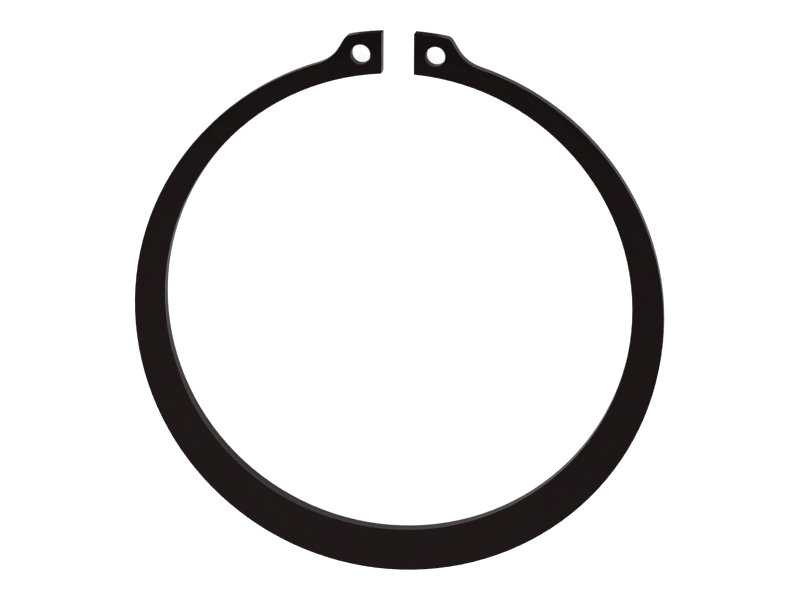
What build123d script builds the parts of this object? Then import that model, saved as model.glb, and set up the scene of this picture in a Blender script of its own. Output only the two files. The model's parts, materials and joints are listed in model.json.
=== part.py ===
from build123d import *
import os
from math import atan2, cos, radians, sin, sqrt, tan

# External retaining ring for a 100 mm shaft, blanked in one piece from 3 mm spring steel strip.
# The ring lies flat: its axis is +Z, its underside is on z = 0 and its gap points along +Y.
# The origin is on the axis at the underside. Sizes are in mm, for the free ring before it is opened.

# Beam, the open hoop that springs round the shaft. It is deepest opposite the gap and thins
# towards the lugs, so that it bends evenly: its outer edge is a circle set off from the axis.
inner_diameter = 94.5
thickness = 3.0
beam_depth = 8.75           # radial, opposite the gap
beam_depth_at_gap = 3.95    # radial, where the outer circle would cross the gap

# Lugs, one each side of the gap. Each has a top concentric with the bore, a rounded outer corner,
# and a straight flank that runs out into the beam through a wide root radius.
gap_width = 6.35
lug_height = 8.25           # radial, from the bore to the lug's top
lug_width = 7.15            # from the gap face to where top and flank would meet in a sharp corner
flank_angle = 31.0          # degrees between the flank and Y
lug_corner_radius = 1.75
lug_root_radius = 7.5
flank_use = 0.95            # the most of a flank that its two radii may take up
end_corner_radius = 0.2     # the corners at each end of the gap faces

# Plier holes, one through each lug.
hole_diameter = 3.9
hole_to_gap_face = 4.25     # from the gap face to the hole's centre
hole_to_bore = 4.15         # radial, from the bore to the hole's centre

# Edges. The die draws the upper face's edges down into a small roll, and tumbling takes the burr
# off the underside's edges and leaves a narrow flat on them.
die_roll = 0.15
edge_break = 0.12

# What follows from those sizes.
bore_radius = inner_diameter / 2
outer_radius = bore_radius + (beam_depth + beam_depth_at_gap) / 2
outer_offset = (beam_depth - beam_depth_at_gap) / 2
lug_radius = bore_radius + lug_height
gap_half = gap_width / 2


def beam_and_crown():
    """The outer outline: the beam's offset circle, with one crown that the gap will part into two lugs."""
    corner_x = gap_half + lug_width
    corner_y = sqrt(lug_radius**2 - corner_x**2)
    # Each flank is drawn from well above the lug's top to well below the bore, and cut to length after.
    reach = 2 * lug_height
    run = reach * sin(radians(flank_angle))
    rise = reach * cos(radians(flank_angle))
    foot = (corner_x + run, corner_y - rise)
    peak = (corner_x - run, corner_y + rise)
    wedge = make_face(Polyline((-foot[0], foot[1]), (-peak[0], peak[1]), peak, foot, close=True))
    beam = Pos(0, -outer_offset) * Circle(outer_radius)
    outline = beam + (wedge & Circle(lug_radius))
    lug_roots = outline.vertices().group_by(Axis.Y)[-2]
    outline = fillet(lug_roots, root_radius_on(outline.edges().filter_by(GeomType.LINE)[0]))
    lug_corners = outline.vertices().group_by(Axis.Y)[-1]
    return fillet(lug_corners, lug_corner_radius)


def root_radius_on(flank):
    """The lug's root radius, or on a short flank as much of it as the corner radius leaves room for."""
    root, corner = flank.vertices().sort_by(Axis.Y)
    flank_slope = radians(90 - flank_angle)
    turn_at_root = flank_slope - atan2(abs(root.X), root.Y + outer_offset)
    turn_at_corner = flank_slope - atan2(abs(corner.X), corner.Y)
    left_for_root = flank.length - lug_corner_radius * tan(turn_at_corner / 2)
    return min(lug_root_radius, flank_use * left_for_root / tan(turn_at_root / 2))


def plier_holes():
    """Both holes, each at its own distance from the gap face and from the bore."""
    hole_x = gap_half + hole_to_gap_face
    hole_y = sqrt((bore_radius + hole_to_bore) ** 2 - hole_x**2)
    return Locations((-hole_x, hole_y), (hole_x, hole_y)) * Circle(hole_diameter / 2)


def ring_outline():
    """The blanked outline, with its bore, its gap and its holes."""
    gap = Pos(0, lug_radius) * Rectangle(gap_width, 2 * lug_radius)
    outline = beam_and_crown() - Circle(bore_radius) - gap - plier_holes()
    faces = outline.edges().filter_by(GeomType.LINE).filter_by(Axis.Y)
    return fillet(faces.vertices(), end_corner_radius)


def retaining_ring():
    """The outline through the strip's thickness, with its edges rolled above and broken below."""
    ring = extrude(ring_outline(), thickness)
    ring = fillet(ring.faces().sort_by(Axis.Z)[-1].edges(), die_roll)
    return chamfer(ring.faces().sort_by(Axis.Z)[0].edges(), edge_break)


os.makedirs("parts", exist_ok=True)
export_step(retaining_ring(), "parts/retaining_ring.step")
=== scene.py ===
import bpy
import json
from math import cos, radians, sin
from mathutils import Matrix, Vector


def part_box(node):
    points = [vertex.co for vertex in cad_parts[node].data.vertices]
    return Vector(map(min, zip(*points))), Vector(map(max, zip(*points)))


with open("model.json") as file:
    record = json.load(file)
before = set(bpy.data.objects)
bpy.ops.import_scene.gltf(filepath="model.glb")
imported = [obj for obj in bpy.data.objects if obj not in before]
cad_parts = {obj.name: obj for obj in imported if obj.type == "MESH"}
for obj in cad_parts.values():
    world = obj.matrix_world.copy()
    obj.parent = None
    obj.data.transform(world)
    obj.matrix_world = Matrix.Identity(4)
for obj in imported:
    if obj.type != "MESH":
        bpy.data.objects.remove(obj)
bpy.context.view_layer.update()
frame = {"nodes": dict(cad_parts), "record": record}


# ---- The retaining ring -------------------------------------------------------------------------
# One piece of spring steel, blanked and pierced from rolled strip, hardened, tumbled and then
# blackened and oiled. Its flat faces are the strip's own; its walls are what the die sheared.
mm = 0.001
ring = frame["nodes"]["retaining_ring"]
ring_low, ring_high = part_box("retaining_ring")
thickness = (ring_high.z - ring_low.z) / mm
mounts = {mount["name"]: mount for mount in frame["record"]["mounts"]}
bore_radius = mounts["shaft_seat"]["dims"]["r_mm"]
hole_radius = mounts["plier_hole_right"]["dims"]["r_mm"]
hole_place = mounts["plier_hole_right"]["pos_m"]
# The record has no mount for these two, which are in mm like the sizes above.
lug_top_radius = 55.5
gap_half = 3.175

steel = bpy.data.materials.new("blackened_spring_steel_finish")
steel.use_nodes = True
nodes, links = steel.node_tree.nodes, steel.node_tree.links
shader = nodes["Principled BSDF"]
shader.inputs["Metallic"].default_value = 0.0
shader.inputs["Specular IOR Level"].default_value = 0.058
shader.inputs["Specular Tint"].default_value = (0.95, 0.8, 0.79, 1)


def add(kind, name, x, y, **settings):
    """A node of that kind at a place on the sheet, with its plain settings."""
    node = nodes.new(kind)
    node.name = node.label = name
    node.location = x, y
    for key, value in settings.items():
        setattr(node, key, value)
    return node


def noise(name, x, y, scale, detail, source):
    """A noise texture over the piece's own coordinates, scale in features to the metre."""
    texture = add("ShaderNodeTexNoise", name, x, y)
    texture.inputs["Scale"].default_value = scale
    texture.inputs["Detail"].default_value = detail
    links.new(source, texture.inputs["Vector"])
    return texture.outputs["Fac"]


def stretch(name, x, y, value, low, high, to_low, to_high):
    """A smooth, clamped map of a value from one range to another."""
    node = add("ShaderNodeMapRange", name, x, y, interpolation_type="SMOOTHSTEP")
    for socket, number in (("From Min", low), ("From Max", high), ("To Min", to_low), ("To Max", to_high)):
        node.inputs[socket].default_value = number
    links.new(value, node.inputs["Value"])
    return node.outputs["Result"]


def sums(name, x, y, operation, first, second):
    """One step of arithmetic. Either side may be a socket or a number."""
    node = add("ShaderNodeMath", name, x, y, operation=operation)
    for socket, value in zip(node.inputs, (first, second)):
        if isinstance(value, float):
            socket.default_value = value
        else:
            links.new(value, socket)
    return node.outputs["Value"]


def mix_values(name, x, y, amount, first, second):
    """Two values mixed by an amount. Either may be a socket or a number."""
    node = add("ShaderNodeMix", name, x, y)
    links.new(amount, node.inputs["Factor"])
    for socket, value in ((node.inputs[2], first), (node.inputs[3], second)):
        if isinstance(value, float):
            socket.default_value = value
        else:
            links.new(value, socket)
    return node.outputs[0]


def blend(name, x, y, amount, first, second):
    """Two colours mixed by an amount."""
    node = add("ShaderNodeMix", name, x, y, data_type="RGBA")
    links.new(amount, node.inputs["Factor"])
    for socket, value in ((node.inputs[6], first), (node.inputs[7], second)):
        if isinstance(value, tuple):
            socket.default_value = (*value, 1.0)
        else:
            links.new(value, socket)
    return node.outputs[2]


def squeeze(name, x, y, vector, factors):
    """The same coordinates squeezed along each axis, so that a pattern on them is drawn out."""
    node = add("ShaderNodeVectorMath", name, x, y, operation="MULTIPLY")
    links.new(vector, node.inputs[0])
    node.inputs[1].default_value = factors
    return node.outputs["Vector"]


place = add("ShaderNodeTexCoord", "piece coordinates", -1500, 0).outputs["Object"]
axes = add("ShaderNodeSeparateXYZ", "piece axes", -1300, -300)
links.new(place, axes.inputs[0])
height = sums("height in mm", -1100, -300, "DIVIDE", axes.outputs["Z"], mm)

# Where on the ring a point is: on a flat face or on a sheared wall, on a lug, on a lug's top.
upper = stretch("upper face", -700, -300, height, thickness - 0.14, thickness - 0.02, 0.0, 1.0)
under = stretch("underside", -700, -450, height, 0.02, 0.10, 1.0, 0.0)
face = sums("flat faces", -500, -300, "MAXIMUM", upper, under)
plan = squeeze("place on the plan", -1100, -700, place, (1, 1, 0))
out = add("ShaderNodeVectorMath", "distance from the axis", -900, -700, operation="LENGTH")
links.new(plan, out.inputs[0])
radius = sums("distance from the axis in mm", -700, -700, "DIVIDE", out.outputs["Value"], mm)
aside = sums("distance from the gap's middle", -900, -900, "ABSOLUTE", axes.outputs["X"], 0.0)
front = stretch("gap's half of the ring", -700, -1050, axes.outputs["Y"], 25.0 * mm, 35.0 * mm, 0.0, 1.0)
beyond_beam = stretch("beyond the beam", -500, -700, radius, 49.0, 52.0, 0.0, 0.9)
lug = sums("lugs", -300, -750, "MULTIPLY", front, beyond_beam)
# Painted shade: the faces grow darker from the middle of the ring towards the lugs.
shade_towards_lugs = stretch("painted shade towards the lugs", -500, -550, axes.outputs["Y"], 15.0 * mm, 50.0 * mm, 0.0, 0.35)
lug = sums("lugs and their side", -300, -600, "MAXIMUM", lug, shade_towards_lugs)
crown = stretch("lug tops", -500, -850, radius, lug_top_radius - 0.25, lug_top_radius - 0.10, 0.0, 1.0)
short_of_corner = stretch("short of the corner", -700, -900, aside, 6.0 * mm, 9.5 * mm, 1.0, 0.0)
crown = sums("lug tops, short of the corner", -300, -850, "MULTIPLY", crown, short_of_corner)
crown = sums("not on the back", -100, -850, "MULTIPLY", crown, front)

# The flat faces are black with a brown cast, clouded by the oil film, speckled by the coating's own
# grain and faintly lined by the strip's rolling. Painted shade darkens them towards the lugs, and most
# of all on the lugs themselves.
cloudy = noise("oil film, cloudy", -1100, 500, 70.0, 4.0, place)
mottle = noise("oil film, mottled", -1100, 300, 520.0, 3.0, place)
grain = noise("grain of the coating", -1100, 100, 3400.0, 3.0, place)
along_strip = squeeze("along the strip", -1300, -100, place, (90, 2600, 90))
rolled = noise("rolling lines", -1100, -100, 1.0, 3.0, along_strip)
face_black = (0.0040, 0.0018, 0.0017)
face_brown = (0.0054, 0.0028, 0.0027)
face_mauve = (0.0056, 0.0012, 0.0027)
face_olive = (0.0044, 0.0036, 0.0014)
painted_shade_black = (0.0009, 0.0003, 0.0003)
speckle = mix_values("clouds and lines", -900, 200, cloudy, grain, rolled)
speckle = sums("speckle", -700, 100, "ADD", speckle, grain)
contrast = stretch("contrast", -700, 300, speckle, 0.7, 1.3, 0.0, 1.0)
mauve = stretch("mauve", -500, 500, mottle, 0.50, 0.30, 0.0, 0.9)
olive = stretch("olive", -300, 500, mottle, 0.50, 0.70, 0.0, 0.9)
tone = blend("black to brown", -500, 300, contrast, face_black, face_brown)
tone = blend("mauve film", -300, 300, mauve, tone, face_mauve)
tone = blend("olive film", -100, 300, olive, tone, face_olive)
# Painted shade: the faces are painted darker towards the lugs and darkest on them.
tone = blend("painted shade on the lugs", 100, 300, lug, tone, painted_shade_black)

# The walls are what the die sheared: a smooth burnished band under the upper edge, then torn metal.
# Painted light makes the walls at the back of the bore, the gap's faces and the plier holes a little
# lighter.
down_wall = squeeze("down the wall", -1300, -1100, place, (3600, 3600, 260))
streaks = noise("shear marks", -1100, -1100, 1.0, 2.0, down_wall)
torn_grain = noise("torn metal", -1100, -1300, 2400.0, 4.0, place)
waves = sums("waves", -1100, -1500, "MULTIPLY", mottle, 0.9)
edge_of_tear = sums("wavy height", -900, -1100, "ADD", height, waves)
burnish = stretch("burnished band", -700, -1100, edge_of_tear, thickness - 0.85, thickness - 0.55, 0.0, 1.0)
burnished_black = (0.0090, 0.0034, 0.0030)
torn_grey = (0.0120, 0.0058, 0.0054)
painted_light_grey = (0.0400, 0.0285, 0.0268)
highlight_grey = (0.0980, 0.0780, 0.0720)
wall = blend("wall", -500, -1100, burnish, torn_grey, burnished_black)
# Painted light on the walls at the back of the bore, the gap's faces and the plier holes.
in_bore = stretch("in the bore", -700, -1300, radius, bore_radius + 0.25, bore_radius + 0.55, 1.0, 0.0)
at_back = stretch("at the back", -700, -1450, axes.outputs["Y"], -47.0 * mm, -34.0 * mm, 1.0, 0.0)
paler = sums("back of the bore", -500, -1300, "MULTIPLY", in_bore, at_back)
gap_edge = (gap_half + 0.075) * mm
gap_fade = (gap_half + 0.225) * mm
gap_faces = stretch("gap faces", -700, -2000, aside, gap_edge, gap_fade, 0.6, 0.0)
gap_faces = sums("gap faces, not the back", -600, -2000, "MULTIPLY", gap_faces, front)
folded = add("ShaderNodeCombineXYZ", "both lugs as one", -900, -2150)
links.new(aside, folded.inputs["X"])
links.new(axes.outputs["Y"], folded.inputs["Y"])
from_hole = add("ShaderNodeVectorMath", "distance from a hole", -700, -2150, operation="DISTANCE")
links.new(folded.outputs[0], from_hole.inputs[0])
from_hole.inputs[1].default_value = (hole_place[0], hole_place[1], 0)
hole_edge = (hole_radius + 0.15) * mm
hole_fade = (hole_radius + 0.25) * mm
holes = stretch("holes", -500, -2150, from_hole.outputs["Value"], hole_edge, hole_fade, 0.5, 0.0)
gap_and_holes = sums("gap and holes", -500, -2000, "MAXIMUM", gap_faces, holes)
paler = sums("places of painted light", -300, -1300, "MAXIMUM", paler, gap_and_holes)
wall = blend("wall with painted light", -300, -1100, paler, wall, painted_light_grey)

# The roll along the upper edges carries a painted highlight: it is lighter in patches, most of all
# round the bore on the left of the back.
roll = stretch("up the roll", -500, -1500, height, thickness - 0.14, thickness - 0.08, 0.0, 1.0)
below_face = stretch("up to the face", -500, -1650, height, thickness - 0.008, thickness - 0.0005, 1.0, 0.0)
roll = sums("roll", -300, -1500, "MULTIPLY", roll, below_face)
across = add("ShaderNodeVectorMath", "towards the left of the back", -900, -1800, operation="DOT_PRODUCT")
links.new(place, across.inputs[0])
across.inputs[1].default_value = (-0.707, -0.707, 0)
leftward = across.outputs["Value"]
left_of_back = stretch("left of the back", -700, -1800, leftward, 41.0 * mm, 46.0 * mm, 0.0, 0.9)
left_of_back = sums("left of the back, in the bore", -500, -1800, "MULTIPLY", left_of_back, in_bore)
highlight_patches = stretch("highlight_patches", -700, -1650, mottle, 0.50, 0.66, 0.0, 0.25)
highlight = sums("highlight", -300, -1650, "MAXIMUM", highlight_patches, left_of_back)
highlighted = sums("worn roll", -100, -1500, "MULTIPLY", roll, highlight)
# Painted shade: the outer walls of the lug tops are painted as black as the shaded lugs.
wall = blend("painted shade on lug tops", -100, -1100, crown, wall, painted_shade_black)
colour = blend("face or wall", 300, 300, face, wall, tone)
# Painted highlight: the roll is painted lighter where it catches the light.
colour = blend("worn edge", 500, 300, highlighted, colour, highlight_grey)
links.new(colour, shader.inputs["Base Color"])

face_sheen = stretch("face roughness", -300, 0, cloudy, 0.3, 0.7, 0.41, 0.47)
wall_sheen = mix_values("wall roughness", -300, -300, burnish, 0.32, 0.26)
wall_sheen = mix_values("matt lug tops", -100, -300, crown, wall_sheen, 0.8)
links.new(mix_values("roughness", 100, 0, face, wall_sheen, face_sheen), shader.inputs["Roughness"])

wall_relief = mix_values("wall relief", 100, -700, burnish, torn_grain, streaks)
bump = add("ShaderNodeBump", "relief", 500, -400)
bump.inputs["Strength"].default_value = 0.25
bump.inputs["Distance"].default_value = 0.02 * mm
links.new(mix_values("relief by place", 300, -500, face, wall_relief, speckle), bump.inputs["Height"])
links.new(bump.outputs["Normal"], shader.inputs["Normal"])
ring.data.materials[0] = steel


# ---- The floor ----------------------------------------------------------------------------------
# A plain white sheet a hair under the ring, so that the two never share a plane. The camera and
# reflections see it as a white background, and it keeps a little of its own shading, for the ring
# to cast a shadow on.
floor_half = 1.5
floor_drop = 0.01 * mm
bpy.ops.mesh.primitive_plane_add(size=2 * floor_half, location=(0, 0, -floor_drop))
floor = bpy.context.object
floor.name = "floor"
paper = bpy.data.materials.new("white_paper")
paper.use_nodes = True
nodes, links = paper.node_tree.nodes, paper.node_tree.links
paper_shader = nodes["Principled BSDF"]
paper_shader.inputs["Base Color"].default_value = (0.85, 0.85, 0.85, 1)
paper_shader.inputs["Roughness"].default_value = 0.9
paper_shader.inputs["Specular IOR Level"].default_value = 0.1
seen = add("ShaderNodeLightPath", "ray kinds", -900, 300)
by_camera = sums("seen by the camera", -700, 300, "MULTIPLY", seen.outputs["Is Camera Ray"], 0.81)
glossy, through_glass = seen.outputs["Is Glossy Ray"], seen.outputs["Is Transmission Ray"]
by_gloss = sums("seen in a reflection", -700, 100, "MAXIMUM", glossy, through_glass)
by_gloss = sums("share of reflections", -500, 100, "MULTIPLY", by_gloss, 0.2)
glow = add("ShaderNodeEmission", "white background", -300, 100)
both = add("ShaderNodeAddShader", "paper and background", 100, 0)
links.new(sums("background strength", -500, 300, "MAXIMUM", by_camera, by_gloss), glow.inputs["Strength"])
links.new(paper_shader.outputs[0], both.inputs[0])
links.new(glow.outputs[0], both.inputs[1])
links.new(both.outputs[0], nodes["Material Output"].inputs["Surface"])
floor.data.materials.append(paper)


# ---- Light --------------------------------------------------------------------------------------
# A white studio: an even white surround, a large soft lamp to the left of the ring and a weaker one
# to its right.
world = bpy.data.worlds.new("studio")
bpy.context.scene.world = world
world.use_nodes = True
nodes, links = world.node_tree.nodes, world.node_tree.links
surround = nodes["Background"]
surround.inputs["Color"].default_value = (1, 1, 1, 1)
seen = add("ShaderNodeLightPath", "ray kinds", -900, 300)
direct, glossy = seen.outputs["Is Camera Ray"], seen.outputs["Is Glossy Ray"]
through_glass = seen.outputs["Is Transmission Ray"]
background = sums("camera or glossy", -700, 300, "MAXIMUM", direct, glossy)
background = sums("or through glass", -500, 300, "MAXIMUM", background, through_glass)
strength = stretch("white, or fill light", -300, 300, background, 0.0, 1.0, 0.6, 1.0)
links.new(strength, surround.inputs["Strength"])

for name, wide, deep, power, spot in (("soft_box", 0.8, 0.6, 4.6, (-0.45, -0.55, 0.8)),
                                      ("fill_box", 0.6, 0.5, 1.8, (0.35, -0.55, 0.8))):
    lamp_data = bpy.data.lights.new(name, "AREA")
    lamp_data.shape = "RECTANGLE"
    lamp_data.size, lamp_data.size_y = wide, deep
    lamp_data.energy = power
    lamp = bpy.data.objects.new(name, lamp_data)
    bpy.context.scene.collection.objects.link(lamp)
    lamp.location = spot
    lamp.rotation_euler = (-lamp.location).to_track_quat("-Z", "Y").to_euler()


# ---- Camera -------------------------------------------------------------------------------------
# It looks down on the ring from a little beyond the lugs and to their right.
aim = Vector((0.59, 0.95, thickness / 2)) * mm
azimuth, elevation, roll = radians(62.9), radians(73.2), radians(0.37)
distance = 0.6042
towards = Vector((cos(azimuth) * cos(elevation), sin(azimuth) * cos(elevation), sin(elevation)))
right = Vector((0, 1, 0)).cross(towards).normalized()
turned = Matrix((right, towards.cross(right), towards)).transposed().to_4x4() @ Matrix.Rotation(roll, 4, "Z")
camera_data = bpy.data.cameras.new("camera")
camera_data.lens = 135.4
camera_data.sensor_width = 36.0
camera_data.clip_start = 0.01
camera = bpy.data.objects.new("camera", camera_data)
bpy.context.scene.collection.objects.link(camera)
camera.matrix_world = Matrix.Translation(aim + distance * towards) @ turned
bpy.context.scene.camera = camera
bpy.context.scene.view_settings.view_transform = "Standard"
